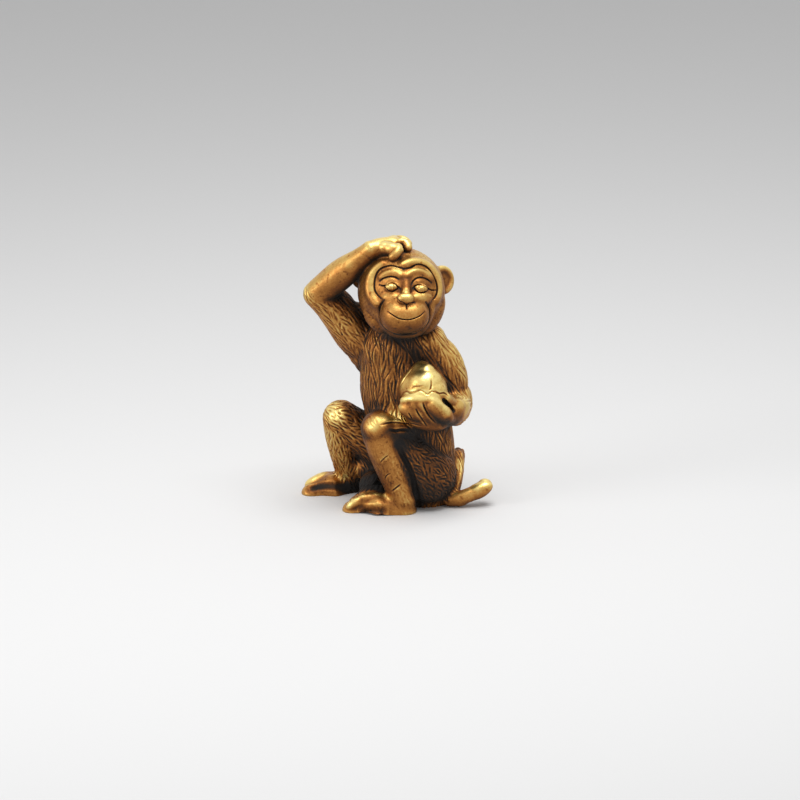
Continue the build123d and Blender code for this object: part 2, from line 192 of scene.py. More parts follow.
# %% One skin
VOXEL = 0.12
only(*clay)
bpy.ops.object.join()
skin = bpy.context.object
skin.name = "skin"
fuse = skin.modifiers.new("fuse", "REMESH")
fuse.mode = "VOXEL"
fuse.voxel_size = VOXEL * MM
bpy.ops.object.modifier_apply(modifier="fuse")
print(f"skin: {len(skin.data.polygons)} faces")

# %% [markdown]
# Every place on the skin is told which CAD solid it came from. That label steers all that
# follows: where to blend, where fur grows and which way it lies, and which piece it belongs to.

# %% Which solid each place came from
node_names = sorted(nodes)
points, faces, face_node = [], [], []
for number, name in enumerate(node_names):
    mesh = nodes[name].data
    first = len(points)
    points += [vertex.co / MM for vertex in mesh.vertices]
    faces += [[first + corner for corner in poly.vertices] for poly in mesh.polygons]
    face_node += [number] * len(mesh.polygons)
cad_tree = BVHTree.FromPolygons(points, faces)
face_node = np.array(face_node)


def places():
    """The skin's vertices, in millimetres."""
    co = np.empty(len(skin.data.vertices) * 3, np.float32)
    skin.data.vertices.foreach_get("co", co)
    return co.reshape(-1, 3).astype(float) / MM


def read_normals():
    """The skin's surface normal at each vertex."""
    found = np.empty(len(skin.data.vertices) * 3, np.float32)
    skin.data.vertices.foreach_get("normal", found)
    return found.reshape(-1, 3)


def read_edges():
    """The two ends of every edge of the skin, and how many edges meet at each vertex."""
    ends = np.empty(len(skin.data.edges) * 2, np.int32)
    skin.data.edges.foreach_get("vertices", ends)
    ends = ends.reshape(-1, 2)
    return ends, np.bincount(ends.ravel(), minlength=len(skin.data.vertices)).astype(float)


def label_places(co):
    """The number of the nearest CAD solid for each place."""
    hits = [cad_tree.find_nearest(place)[2] for place in co]
    return face_node[hits]


label = label_places(places())
edges, valence = read_edges()
print(f"labels: {len(set(label))} of {len(node_names)} solids show on the skin")

# %% [markdown]
# Values such as wear or fur are kept for every place on the skin. They are evened out by taking
# the mean of each place's neighbours, many times over.

# %% Values over the skin


def neighbour_mean(values):
    """The mean of a value over the neighbours of each place."""
    total = np.bincount(edges[:, 0], values[edges[:, 1]], len(valence))
    total += np.bincount(edges[:, 1], values[edges[:, 0]], len(valence))
    return total / valence


def spread(values, rounds):
    """Lets a value flow outwards over the skin, keeping its peak."""
    for _ in range(rounds):
        values = np.maximum(values, neighbour_mean(values))
    return values


def soften(values, rounds):
    """Evens a value out over the skin."""
    for _ in range(rounds):
        values = (values + neighbour_mean(values)) / 2
    return values


def steps_over(distance):
    """How many edges of the skin make this distance, in millimetres."""
    return round(distance / VOXEL)


def rounds_over(area):
    """How many rounds even a value out over this area, in square millimetres."""
    return round(area / VOXEL**2)


def is_one_of(*names):
    """1 where the skin came from one of these solids, else 0."""
    numbers = [node_names.index(name) for name in names]
    return np.isin(label, numbers).astype(float)


print(f"each round evens out over {VOXEL:.2f} mm")

# %% [markdown]
# Where two masses meet, a modeller wipes the joint smooth with a thumb. A Smooth modifier does
# that, held to the joints and creases by a vertex group. The table says what share of the wiping
# the fine parts get, by a word in their names.

# %% Smooth the joints
CREASE = 0.09
WIPED = {
    "finger": 0.12, "thumb": 0.12, "eye": 0.3, "brow": 0.12, "rim": 0.1, "nose": 0.07,
    "muzzle": 0.3, "face": 0.18, "peach": 0.35, "left_palm": 0.15, "ear": 0.08,
    "tail_curl": 0.3, "tail_fall": 0.3,
}
kept = np.zeros(len(label))
for word, share in WIPED.items():
    kept[is_one_of(*[name for name in node_names if word in name]) > 0] = 1 - share
place_now = places()
blurred = np.stack([soften(place_now[:, axis], rounds_over(0.5)) for axis in range(3)], 1)
sunk = ((blurred - place_now) * read_normals()).sum(axis=1)
seam = (sunk > CREASE).astype(float)
crossing = label[edges[:, 0]] != label[edges[:, 1]]
seam[edges[crossing].ravel()] = 1
reach = steps_over(1.1)
joint = soften(spread(seam, reach * 3), reach)
joint *= 1 - soften(kept, reach)
wipe = skin.vertex_groups.new(name="wipe")
for index, weight in enumerate(joint):
    wipe.add([index], float(weight), "REPLACE")


def smooth(name, rounds, group=""):
    """Runs a Smooth modifier over the skin and applies it."""
    only(skin)
    step = skin.modifiers.new(name, "SMOOTH")
    step.factor = 0.5
    step.iterations = rounds
    step.vertex_group = group
    bpy.ops.object.modifier_apply(modifier=name)


smooth("wipe", rounds_over(3.6), "wipe")
smooth("polish", rounds_over(0.1))
print(f"smoothed: {joint.mean():.2f} of the skin on average")

# %% [markdown]
# The eyelids are finer than the skin's faces, so the faces over the front of the head are split
# once more, as a sculptor adds detail only where it is needed. All faces are then cut into
# triangles.

# %% A finer skin on the head
HEAD_PARTS = ["head", "face", "muzzle", "nose", "left_eye", "right_eye", "left_brow",
              "right_brow", "left_hood_rim", "right_hood_rim"]
BACK_OF_FACE = -1.5
on_head = (is_one_of(*HEAD_PARTS) > 0) & (places()[:, 1] < BACK_OF_FACE)
only(skin)
skin.data.polygons.foreach_set("select", [False] * len(skin.data.polygons))
skin.data.edges.foreach_set("select", [False] * len(skin.data.edges))
skin.data.vertices.foreach_set("select", on_head)
bpy.ops.object.mode_set(mode="EDIT")
bpy.ops.mesh.select_mode(type="VERT")
bpy.ops.mesh.select_mode(type="FACE")
bpy.ops.mesh.subdivide(number_cuts=1, smoothness=0.0)
bpy.ops.mesh.select_all(action="SELECT")
bpy.ops.mesh.quads_convert_to_tris()
bpy.ops.object.mode_set(mode="OBJECT")
base = places()
base[:, 2] = np.maximum(base[:, 2], 0)
label = label_places(base)
edges, valence = read_edges()
print(f"skin: {len(skin.data.polygons)} triangles")

# %% [markdown]
# The face and the fur are carved. Sculpt brushes need a window, so each cut is a line drawn in
# the front view, thrown onto the skin, and pressed in along the surface normal. A line with a
# negative depth raises a ridge instead.

# %% The carving tool
skin.data.update()
normal = read_normals().astype(float)
for axis in range(3):
    normal[:, axis] = soften(normal[:, axis], 4)
normal /= np.linalg.norm(normal, axis=1, keepdims=True)
skin_faces = [list(poly.vertices) for poly in skin.data.polygons]
skin_tree = BVHTree.FromPolygons(base.tolist(), skin_faces)
cut = np.zeros(len(base))
rise = np.zeros(len(base))
wear_and_shade_tone = np.zeros(len(base))
CELL = 1.0
END_SHARE = 0.25
cells = {}
for index, key in enumerate(map(tuple, np.floor(base / CELL).astype(int))):
    cells.setdefault(key, []).append(index)
cells = {key: np.array(members) for key, members in cells.items()}


def close_to(line, distance):
    """The places whose cells lie within reach of a line, for a distance below a cell."""
    keys = set()
    for low, high in zip(np.floor((line - distance) / CELL), np.floor((line + distance) / CELL)):
        for x in range(int(low[0]), int(high[0]) + 1):
            for y in range(int(low[1]), int(high[1]) + 1):
                for z in range(int(low[2]), int(high[2]) + 1):
                    keys.add((x, y, z))
    found = [cells[key] for key in keys if key in cells]
    return np.concatenate(found) if found else np.array([], int)


def press(line, width, depth, ends):
    """Presses a line into the skin, or raises it where the depth is negative.

    Its ends fade to a share of the depth, over the part of its length that ends gives.
    """
    line = np.asarray(line)
    nearby = close_to(line, width)
    if not len(nearby):
        return
    gap = np.linalg.norm(base[nearby][:, None] - line[None], axis=2)
    nearest = gap.argmin(axis=1)
    gap = gap[np.arange(len(nearby)), nearest]
    along = nearest / max(len(line) - 1, 1)
    fade = np.clip(np.minimum(along, 1 - along) / ends, 0, 1)
    shape = np.clip(1 - (gap / width) ** 2, 0, 1) ** 2 * (END_SHARE + (1 - END_SHARE) * fade)
    if depth > 0:
        cut[nearby] = np.maximum(cut[nearby], depth * shape)
    else:
        rise[nearby] = np.maximum(rise[nearby], -depth * shape)


print(f"ready to carve: {len(base)} places in {len(cells)} cells")

# %% [markdown]
# Most lines are drawn by their corners in the front view. They are made smooth, thrown straight
# back onto the skin, and pressed in. A rubbed line changes the colour and not the shape.

# %% Lines drawn from the front
IN_FRONT = -60.0


def curve_through(corners, step=0.06):
    """A smooth line through its corners, as evenly spaced points."""
    corners = np.array(corners, float)
    before = np.vstack([2 * corners[0] - corners[1], corners, 2 * corners[-1] - corners[-2]])
    line = []
    for p0, p1, p2, p3 in zip(before, before[1:], before[2:], before[3:]):
        count = max(int(np.linalg.norm(p2 - p1) / step), 1)
        for t in np.arange(count)[:, None] / count:
            bend = 2 * p0 - 5 * p1 + 4 * p2 - p3
            twist = 3 * p1 - 3 * p2 + p3 - p0
            line.append((2 * p1 + (p2 - p0) * t + bend * t**2 + twist * t**3) / 2)
    return np.vstack(line + [corners[-1:]])


def throw(line):
    """Throws a line of (u, w) places onto the skin from the front."""
    ray = Vector(AWAY)
    landed = []
    for u, w in line:
        hit = skin_tree.ray_cast(Vector(from_view(u, w, IN_FRONT)), ray)[0]
        if hit is not None:
            landed.append(hit)
    return np.array(landed)


def draw(corners, width, depth, ends=0.25):
    """Draws one cut or ridge through corners of the front view."""
    landed = throw(curve_through(corners))
    if len(landed):
        press(landed, width, depth, ends)


def rub_and_shade(corners, width, amount):
    """Rubs the metal bright along a line of the front view, or darkens it below nought."""
    landed = throw(curve_through(corners, 0.2))
    if len(landed):
        nearby = close_to(landed, width)
        gap = np.linalg.norm(base[nearby][:, None] - landed[None], axis=2).min(axis=1)
        wear_and_shade_tone[nearby] += amount * np.clip(1 - (gap / width) ** 2, 0, 1)


print(f"lines are thrown from {-IN_FRONT:.0f} mm in front of the figure")

# %% [markdown]
# The face: a fine cut round the bare skin inside the hood, a crease above each half-closed lid,
# a cut round the muzzle, nostrils and a smile. Each row holds a name, a width, a height or depth
# and the corners, in millimetres.

# %% Carve the face
RIDGES = [
    ("nose bridge", 0.8, 0.04, [(1.39, 31.25), (1.44, 30.54), (1.39, 29.83)]),
    ("eye, right", 0.75, 0.16, [(-1.23, 30.59), (-0.31, 30.55)]),
    ("eye, left", 0.75, 0.16, [(3.03, 30.37), (3.95, 30.31)]),
    ("lid, right", 0.42, 0.12, [(-1.58, 31.46), (-0.8, 31.63), (-0.02, 31.39)]),
    ("lid, left", 0.42, 0.12, [(2.74, 31.25), (3.52, 31.43), (4.37, 31.13)]),
    ("cheek, right", 0.9, 0.1, [(-2.44, 30.18), (-1.73, 29.69), (-1.02, 29.4)]),
    ("cheek, left", 0.9, 0.1, [(3.66, 29.26), (4.37, 29.47), (5.01, 29.83)]),
]
FACE_CUTS = [
    ("hood groove, left", 0.17, 0.24, [
        (0.97, 33.09), (1.39, 33.16), (1.96, 33.3), (2.53, 33.61), (3.1, 33.76), (3.81, 33.61),
        (4.51, 33.16), (5.08, 32.45), (5.47, 31.6), (5.68, 30.68), (5.65, 29.83), (5.34, 29.12),
        (4.94, 28.69)]),
    ("hood groove, right", 0.17, 0.22, [
        (0.97, 33.09), (0.4, 33.3), (-0.17, 33.51), (-0.73, 33.61), (-1.44, 33.47), (-2.15, 33.16),
        (-2.65, 32.66), (-2.97, 31.88), (-3.1, 30.96), (-3, 30.11), (-2.58, 29.4), (-2.01, 28.9)]),
    ("crease, left", 0.17, 0.22, [
        (2.1, 30.96), (2.32, 31.39), (2.74, 31.76), (3.24, 31.93), (3.88, 31.86), (4.44, 31.59),
        (4.87, 31.22)]),
    ("crease, right", 0.17, 0.2, [
        (-2.29, 31.46), (-1.87, 31.77), (-1.3, 31.97), (-0.73, 32.04), (-0.17, 31.93),
        (0.26, 31.67)]),
    ("lid, left", 0.15, 0.28, [
        (2.32, 30.39), (2.53, 30.68), (2.95, 30.89), (3.45, 30.9), (4.02, 30.73), (4.51, 30.37),
        (4.94, 30.17), (5.51, 30.17)]),
    ("lid, right", 0.15, 0.26, [
        (-2.36, 30.88), (-1.94, 30.76), (-1.51, 30.85), (-1.09, 31.08), (-0.59, 31.15),
        (-0.1, 30.96), (0.26, 30.54), (0.54, 30.25)]),
    ("under eye, left", 0.16, 0.28, [
        (2.46, 30.47), (2.74, 30.07), (3.17, 29.83), (3.66, 29.78), (4.16, 29.97), (4.51, 30.28)]),
    ("under eye, right", 0.16, 0.28, [
        (-1.66, 30.61), (-1.3, 30.21), (-0.88, 30.01), (-0.45, 30), (-0.02, 30.21), (0.3, 30.47)]),
    ("muzzle", 0.18, 0.25, [
        (-1.73, 28.76), (-2.15, 28.12), (-2.35, 27.42), (-2.35, 26.56), (-2.15, 25.78),
        (-1.66, 25.08), (-1.02, 24.58), (-0.24, 24.25), (0.61, 24.07), (1.54, 24.04),
        (2.46, 24.21), (3.31, 24.64), (4.02, 25.29), (4.49, 26.14), (4.66, 27.06), (4.49, 27.84),
        (4.09, 28.48)]),
    ("smile", 0.15, 0.24, [
        (-1.26, 27.13), (-0.8, 26.81), (-0.24, 26.44), (0.33, 26.15), (0.97, 26), (1.68, 25.97),
        (2.39, 26.11), (3.03, 26.37), (3.52, 26.68), (3.95, 27.13)]),
    ("nostrils", 0.14, 0.22, [
        (0.05, 29.12), (0.26, 28.72), (0.61, 28.48), (1.04, 28.32), (1.39, 28.07), (1.75, 28.27),
        (2.1, 28.35), (2.53, 28.41)]),
    ("lip", 0.13, 0.12, [(1.42, 28.05), (1.44, 27.49)]),
]
for name, width, height, corners in RIDGES:
    draw(corners, width, -height)
for name, width, depth, corners in FACE_CUTS:
    draw(corners, width, depth, ends=0.12)
print(f"face: {len(RIDGES)} ridges, {len(FACE_CUTS)} cuts, deepest {cut.max():.2f} mm")

# %% [markdown]
# The body has its own drawn lines: the cleft of the peach, the lines between the fingers, the
# deep fold beside the shin, the arches under the feet.

# %% Carve the body
BODY_CUTS = [
    ("peach cleft", 0.17, 0.22, [(4.87, 17.7), (4.91, 17.2), (4.84, 16.64), (4.66, 16.14)]),
    ("peach crack", 0.13, 0.12, [(2.1, 16.49), (2.53, 16.69), (3.1, 16.72), (3.81, 16.83)]),
    ("peach foot", 0.18, 0.16, [
        (0.83, 15.78), (1.39, 16.04), (1.96, 15.87), (2.67, 15.98), (3.24, 16.18), (3.81, 15.93),
        (4.37, 15.61), (4.94, 15.98), (5.58, 15.87), (6.22, 15.42)]),
    ("peach foot left", 0.2, 0.22, [(5.37, 16.07), (6.08, 15.73), (6.78, 15.78), (7.35, 15.36)]),
    ("peach back lobe", 0.18, 0.2, [(2.25, 19.33), (1.54, 18.34), (0.97, 17.49), (0.54, 16.78)]),
    ("finger a", 0.17, 0.3, [
        (3.73, 14.37), (3.95, 13.66), (4.3, 12.95), (4.8, 12.24), (5.44, 11.6)]),
    ("finger b", 0.17, 0.3, [
        (2.74, 13.51), (3.03, 12.88), (3.45, 12.24), (3.95, 11.53), (4.23, 11.17)]),
    ("finger c", 0.17, 0.25, [(1.68, 12.95), (1.92, 12.52), (2.17, 12.1)]),
    ("slot", 0.45, 0.8, [(6.57, 14.79), (7.07, 14.22), (7.56, 13.73), (8.06, 13.3)]),
    ("elbow crease", 0.25, 0.25, [(6.64, 18.48), (7.14, 17.84), (7.71, 17.27), (8.27, 16.71)]),
    ("shin crease", 0.6, 0.6, [
        (0.33, 8.27), (0.83, 7.13), (1.47, 5.86), (2.03, 4.58), (2.46, 3.16), (2.81, 1.46),
        (3.1, -0.1)]),
    ("knee groove", 0.24, 0.26, [
        (-2.15, 11.32), (-1.3, 11.59), (-0.31, 11.7), (0.83, 11.64), (2.1, 11.44), (3.38, 11.17)]),
    ("knee groove 2", 0.34, 0.3, [(-0.88, 10.61), (-0.02, 10.48), (0.83, 10.59), (1.68, 10.54)]),
    ("shin nick", 0.14, 0.2, [(-2.29, 5.93), (-1.87, 6.42), (-1.16, 6.99)]),
    ("shin nick 2", 0.2, 0.2, [(-0.66, 1.88), (-0.1, 2.31), (0.61, 2.88)]),
    ("shin nick 3", 0.14, 0.16, [(-1.66, 3.59), (-1.44, 4.08), (-0.88, 4.44)]),
    ("left arch", 1.2, 0.6, [
        (-5.56, -1.02), (-4.56, -1.02), (-3.43, -0.95), (-2.29, -1.02), (-1.16, -1.1)]),
    ("toe 1", 0.13, 0.14, [(-7.05, 1.46), (-6.69, 0.96), (-6.48, 0.47)]),
    ("toe 2", 0.13, 0.14, [(-6.55, 2.03), (-6.19, 1.46), (-5.98, 0.89)]),
    ("toe 3", 0.13, 0.14, [(-5.91, 2.52), (-5.56, 1.95), (-5.34, 1.39)]),
    ("right arch", 0.85, 0.4, [
        (-12.51, 2.1), (-11.37, 2.48), (-9.95, 2.59), (-8.39, 2.45), (-7.26, 2.24)]),
]
for name, width, depth, corners in BODY_CUTS:
    draw(corners, width, depth, ends=0.2)
print(f"body: {len(BODY_CUTS)} cuts, deepest {cut.max():.2f} mm")

# %% [markdown]
# Some places are rubbed brighter than their height alone would make them, and others are made
# darker; the dark rows under the arches of the feet are painted shade. The third number of a row
# is how much brighter, or darker below nought. The fine cuts of the face hold the darkening too.

# %% Rub the high places and darken others, with painted shade under the arches
LINE_WIDTH, LINE_DARK, SMILE_DARK = 0.24, -0.3, -0.2
RUBS_AND_SHADE = [
    ("nose bridge", 1.1, -0.16, [(1.39, 31.6), (1.39, 30.9)]),
    ("index fingertip", 0.9, -0.22, [(-0.9, 34.6), (-0.1, 35.7)]),
    ("shin fold", 1.1, -0.35, [(0.33, 8.27), (1.47, 5.86), (2.46, 3.16), (3.1, -0.1)]),
    ("left foot top", 1.8, -0.45, [(-6.27, 2.31), (-4.85, 2.59), (-2.86, 3.02)]),
    ("left foot ridge", 0.7, 0.35, [
        (-6.97, -0.1), (-6.27, 0.61), (-5.13, 1.32), (-3.71, 1.74), (-2.29, 1.53), (-0.88, 1.03)]),
    ("right foot ridge", 1, 0.25, [(-12.79, 2.88), (-11.09, 4.01), (-9.39, 4.3), (-7.68, 3.73)]),
    # The two arch rows darken the undersides of the feet: painted shade.
    ("right foot arch", 1.1, -0.22, [(-12.22, 2.17), (-10.8, 2.45), (-8.68, 2.45), (-7.26, 2.17)]),
    ("left arch", 0.8, -0.12, [(-4.85, -0.67), (-3.43, -0.53), (-2.01, -0.67)]),
    ("hand edge", 0.9, 0.35, [
        (0.83, 15.15), (2.25, 15.43), (4.8, 15.29), (5.93, 14.51), (7.07, 12.95)]),
    ("peach face", 2.2, 0.2, [(3.66, 18.76), (4.8, 18.2)]),
    ("knee", 1.8, 0.25, [(-9.1, 13.37), (-8.53, 12.52)]),
    ("left knee", 2, 0.5, [(-3.29, 11.25), (-1.58, 12.52), (0.26, 12.1)]),
    ("left thigh top", 1.2, 0.3, [(-1.3, 12.5), (0.9, 12.3)]),
    ("eye, left", 0.7, 0.18, [(3.1, 30.39), (3.95, 30.32)]),
    ("eye, right", 0.7, 0.18, [(-1.16, 30.61), (-0.31, 30.54)]),
    ("muzzle line", 0.24, -0.3, [
        (-1.73, 28.76), (-2.25, 28.12), (-2.46, 27.42), (-2.46, 26.56), (-2.27, 25.74),
        (-1.73, 24.98), (-1.07, 24.47), (-0.28, 24.12), (0.61, 23.94), (1.54, 23.93), (2.5, 24.11),
        (3.38, 24.55), (4.12, 25.23), (4.6, 26.11), (4.77, 27.06), (4.59, 27.84), (4.09, 28.48)]),
    ("slot", 0.5, -0.5, [(6.64, 14.65), (7.14, 14.15), (7.92, 13.37)]),
    ("hand front", 2, -0.15, [(1.96, 13.09), (4.09, 12.24), (6.22, 11.95)]),
    ("hood rim", 0.6, 0.12, [
        (1.68, 33.8), (3.1, 34.3), (4.51, 33.94), (5.65, 32.66), (6.22, 30.96), (6.22, 29.54)]),
    ("hood rim, right", 0.6, 0.15, [(-2.29, 33.51), (-3.22, 32.52), (-3.5, 30.96), (-3.14, 29.4)]),
    ("brow, left", 0.7, 0.18, [(1.82, 32.38), (2.53, 32.81), (3.52, 32.98), (4.51, 32.52)]),
    ("brow, right", 0.7, 0.18, [(-1.73, 32.1), (-0.88, 32.59), (0.12, 32.73), (0.97, 32.38)]),
    ("bag, left", 1.1, 0.1, [(3.52, 29.26), (4.37, 29.4), (5.08, 29.83)]),
    ("bag, right", 1.1, 0.1, [(-2.58, 30.18), (-1.87, 29.69), (-1.02, 29.4)]),
    ("tail edge", 0.8, 0.3, [(8.91, 6), (8.63, 3.44), (8.06, 1.74)]),
    ("tail tip", 1, 0.2, [(11.32, 2.73), (12.6, 3.16)]),
]
for name, width, amount, corners in RUBS_AND_SHADE:
    rub_and_shade(corners, width, amount)
for name, width, depth, corners in FACE_CUTS:
    if name != "muzzle":
        rub_and_shade(corners, LINE_WIDTH, SMILE_DARK if name == "smile" else LINE_DARK)
print(f"rubbed: {len(RUBS_AND_SHADE)} lines, tone from {wear_and_shade_tone.min():.2f} to {wear_and_shade_tone.max():.2f}")

# %% [markdown]
# The hair lies along the limbs and down the trunk. One table says which way it lies on each
# solid, the other how much of it grows there, from 0 to 1, and how long it is in millimetres.

# %% The lie of the hair
HAIR_WAYS = {
    "belly": (0, 0, -1), "chest": (0.05, 0, -1), "neck": (0, 0.3, -1), "head": (0, 1, -0.6),
    "left_thigh": (0.66, 0.25, -0.72), "right_thigh": (0.97, 0.08, -0.68),
    "left_shin": (0.34, 0.02, -1), "right_shin": (0.12, 0.3, -1), "leg_web": (-0.3, 0, -1),
    "left_upper_arm": (0.41, 0, -0.89), "left_forearm": (-0.5, -0.9, 0),
    "right_upper_arm": (0.6, 0.2, -0.72), "right_forearm": (-0.7, 0.2, -0.6),
    "tail_root": (0.3, -0.2, 0.5), "tail_fall": (0, -0.6, -0.6),
}
hair = np.zeros((len(base), 3))
for name, way in HAIR_WAYS.items():
    hair[label == node_names.index(name)] = way
for axis in range(3):
    hair[:, axis] = soften(hair[:, axis], steps_over(1.2))
FUR = {
    "belly": (1.0, 2.6), "chest": (1.0, 3.4), "neck": (1.0, 2.6), "head": (0.22, 0.7),
    "left_thigh": (1.0, 1.2), "right_thigh": (1.0, 1.3), "left_shin": (0.25, 0.9),
    "right_shin": (0.85, 1.4), "leg_web": (0.8, 1.3), "left_upper_arm": (0.75, 2.6),
    "right_upper_arm": (0.7, 1.5), "left_forearm": (0.0, 0.8), "right_forearm": (0.1, 0.6),
    "tail_root": (0.7, 1.0), "tail_fall": (0.5, 0.9),
}
growth = np.zeros(len(base))
hair_length = np.ones(len(base))
for name, (share, length) in FUR.items():
    growth[label == node_names.index(name)] = share
    hair_length[label == node_names.index(name)] = length
growth = soften(growth, steps_over(0.8))
KNEE, BARE_KNEE, KNEE_FADE, KNEE_HAIR = (-1.8, -3.8, 12.2), 2.6, 2.0, 0.1
from_knee = np.linalg.norm(base - KNEE, axis=1)
growth *= np.clip((from_knee - BARE_KNEE) / KNEE_FADE, KNEE_HAIR, 1)
BARE_BELOW = 0.5
growth[base[:, 2] < BARE_BELOW] = 0
curly = soften(is_one_of("left_thigh"), steps_over(0.8))
print(f"fur grows on {(growth > 0.5).mean():.2f} of the places")

# %% [markdown]
# The fur is thousands of short cuts. Each one starts at a random place in the fur, follows the
# lie of the hair and stays clear of the cuts before it. A little swirl and a slow wave keep the
# cuts from lying quite parallel.

# %% Carve the fur
STEP, FLATTEST = 0.12, 0.05
WAVE, WAVE_ACROSS, WAVE_UP = 0.25, 2.1, 1.3
SWIRL, CURL = 0.22, 0.16
FUR_DEPTH, FUR_ENDS = 0.2, 0.35
LENGTHS, DEPTHS, WIDTHS = (0.6, 1.4), (0.6, 1.0), (0.16, 0.27)
CLEAR_OF, LOOK_WITHIN = 0.36, 0.3
SHORTEST, MOST_HAIRS = 4, 6000


def hair_line(root, length, swirl):
    """The line of one hair, laid over the skin from its root."""
    place, here = base[root], root
    line = [place]
    for _ in range(int(length / STEP)):
        way = hair[here] - normal[here] * hair[here].dot(normal[here])
        size = np.linalg.norm(way)
        if size < FLATTEST:
            break
        way /= size
        side = np.cross(normal[here], way)
        wave = WAVE * math.sin(place[0] * WAVE_ACROSS + place[2] * WAVE_UP)
        way = way + side * (swirl + wave)
        hit, _, face, _ = skin_tree.find_nearest(place + way / np.linalg.norm(way) * STEP)
        place, here = np.array(hit), skin_faces[face][0]
        line.append(place)
    return np.array(line)


rng = np.random.default_rng(17)
taken = np.zeros(len(base), bool)
order = rng.permutation(len(base))
hairs = 0
for root in order:
    if taken[root] or rng.random() > growth[root] ** 2:
        continue
    length = hair_length[root] * rng.uniform(*LENGTHS)
    line = hair_line(root, length, rng.normal(0, SWIRL + CURL * curly[root]))
    if len(line) < SHORTEST:
        continue
    strength = growth[root] * rng.uniform(*DEPTHS)
    press(line, rng.uniform(*WIDTHS), FUR_DEPTH * strength, FUR_ENDS)
    nearby = close_to(line, LOOK_WITHIN)
    gap = np.linalg.norm(base[nearby][:, None] - line[None, ::2], axis=2).min(axis=1)
    taken[nearby[gap < CLEAR_OF]] = True
    hairs += 1
    if hairs >= MOST_HAIRS:
        break
print(f"fur: {hairs} cuts")

# %% [markdown]
# All cuts and ridges are now applied at once, along the surface normals.

# %% Apply the carving
carved = base + normal * (rise - cut)[:, None]
skin.data.vertices.foreach_set("co", (carved * MM).astype(np.float32).ravel())
skin.data.update()
print(f"carved: up to {cut.max():.2f} mm in and {rise.max():.2f} mm out")

# %% [markdown]
# The patina is dark in the hollows and worn bright on the high places; it is measured by how far
# each place stands out from a blurred copy of the skin. A second measure, how much open sky each
# place sees, paints shade where little sky reaches, as under the chin and between the arm and the
# head. The sky is looked for from a sample of the places, and the others take the nearest one's
# share.

# %% Measure hollows, high places and open sky
RAYS, SKY_SAMPLE, QUICK_SAMPLE = 24, 24000, 9000
LIFT, SKY_DISTANCE = 0.3, 14.0


def height_over(rounds):
    """How far each place stands out over the mean of its neighbourhood, in millimetres."""
    mean = [soften(carved[:, axis], rounds) for axis in range(3)]
    return ((carved - np.stack(mean, 1)) * normal).sum(axis=1)


def sky_seen_from(index):
    """The share of the sky that one place sees, with the sky straight above it counting most."""
    start = Vector(carved[index] + normal[index] * LIFT)
    free = total = 0.0
    for way in sky:
        lean = way.dot(normal[index])
        if lean <= 0:
            continue
        total += lean
        if carved_tree.ray_cast(start, Vector(way), SKY_DISTANCE)[0] is None:
            free += lean
    return free / max(total, 1e-6)


fine_height = height_over(rounds_over(0.12))
broad_height = height_over(rounds_over(1.5))
carved_tree = BVHTree.FromPolygons(carved.tolist(), skin_faces)
sky = rng.normal(size=(RAYS, 3))
sky /= np.linalg.norm(sky, axis=1, keepdims=True)
sample = rng.permutation(len(base))[: SKY_SAMPLE]
sky_share = [sky_seen_from(index) for index in sample]
sampled = KDTree(len(sample))
for number, index in enumerate(sample):
    sampled.insert(carved[index], number)
sampled.balance()
# Little open sky makes a place darker later on: this is painted shade, as under the chin and
# between the arm and the head.
open_sky_shade = np.array([sky_share[sampled.find(place)[1]] for place in carved])
open_sky_shade = soften(open_sky_shade, rounds_over(0.35))
print(f"openness {open_sky_shade.min():.2f} to {open_sky_shade.max():.2f}, mean {open_sky_shade.mean():.2f}")

# %% [markdown]
# Each solid has its own mean value, from 0 for dark to 1 for bright: the peach and the knuckles
# are handled most. The lap, the metal between the legs and the neck under the chin are set dark as
# painted shade. The relief then moves each place up or down from that mean, with painted shade
# where little sky is seen and painted light on the upward faces.

# %% Wear, with painted shade and painted light
FINE, BROAD, SKY_SHADE, LIGHT_FROM_ABOVE = 4.0, 0.5, 0.8, 0.24
MEAN_WEAR_AND_SHADE = {
    "belly": 0.36, "chest": 0.30, "neck": 0.18, "head": 0.34, "face": 0.48, "muzzle": 0.41,
    "nose": 0.68, "left_eye": 0.52, "right_eye": 0.52, "left_brow": 0.52, "right_brow": 0.5,
    "left_hood_rim": 0.62, "right_hood_rim": 0.58, "left_ear": 0.5, "right_ear": 0.4,
    "left_upper_arm": 0.52, "left_forearm": 0.37, "left_palm": 0.48, "left_thumb": 0.56,
    "left_index_finger": 0.42, "left_middle_finger": 0.4, "left_ring_finger": 0.4,
    "left_little_finger": 0.4, "peach": 0.72, "peach_back_lobe": 0.46, "right_upper_arm": 0.52,
    "right_forearm": 0.43, "right_palm": 0.58, "right_index_finger": 0.5,
    "right_middle_finger": 0.45, "right_ring_finger": 0.45, "right_little_finger": 0.45,
    "left_thigh": 0.12, "right_thigh": 0.42, "left_shin": 0.36, "right_shin": 0.62,
    "leg_web": 0.1, "left_foot": 0.42, "right_foot": 0.42, "tail_root": 0.25,
    "tail_fall": 0.4, "tail_curl": 0.58,
}
# In this sum the two heights are the patina and the wear, the open-sky term is painted shade, and
# the term for upward faces is painted light from above.
relief_and_shading = fine_height * FINE + broad_height * BROAD + open_sky_shade * SKY_SHADE + normal[:, 2] * LIGHT_FROM_ABOVE
wear_and_shade = np.zeros(len(base))
for number, name in enumerate(node_names):
    here = label == number
    if here.any():
        wear_and_shade[here] = MEAN_WEAR_AND_SHADE[name] - relief_and_shading[here].mean()
wear_and_shade = soften(wear_and_shade, rounds_over(0.5))
# high holds the wear and the patina, with the painted shade and the painted light from above.
high = np.clip(wear_and_shade + relief_and_shading + wear_and_shade_tone, 0, 1)
print(f"wear: {(high < 0.2).mean():.2f} of the places are dark, {(high > 0.8).mean():.2f} bright")

# %% [markdown]
# The casting is divided into the pieces that a modeller would name. Each piece takes the skin
# over its own solids.

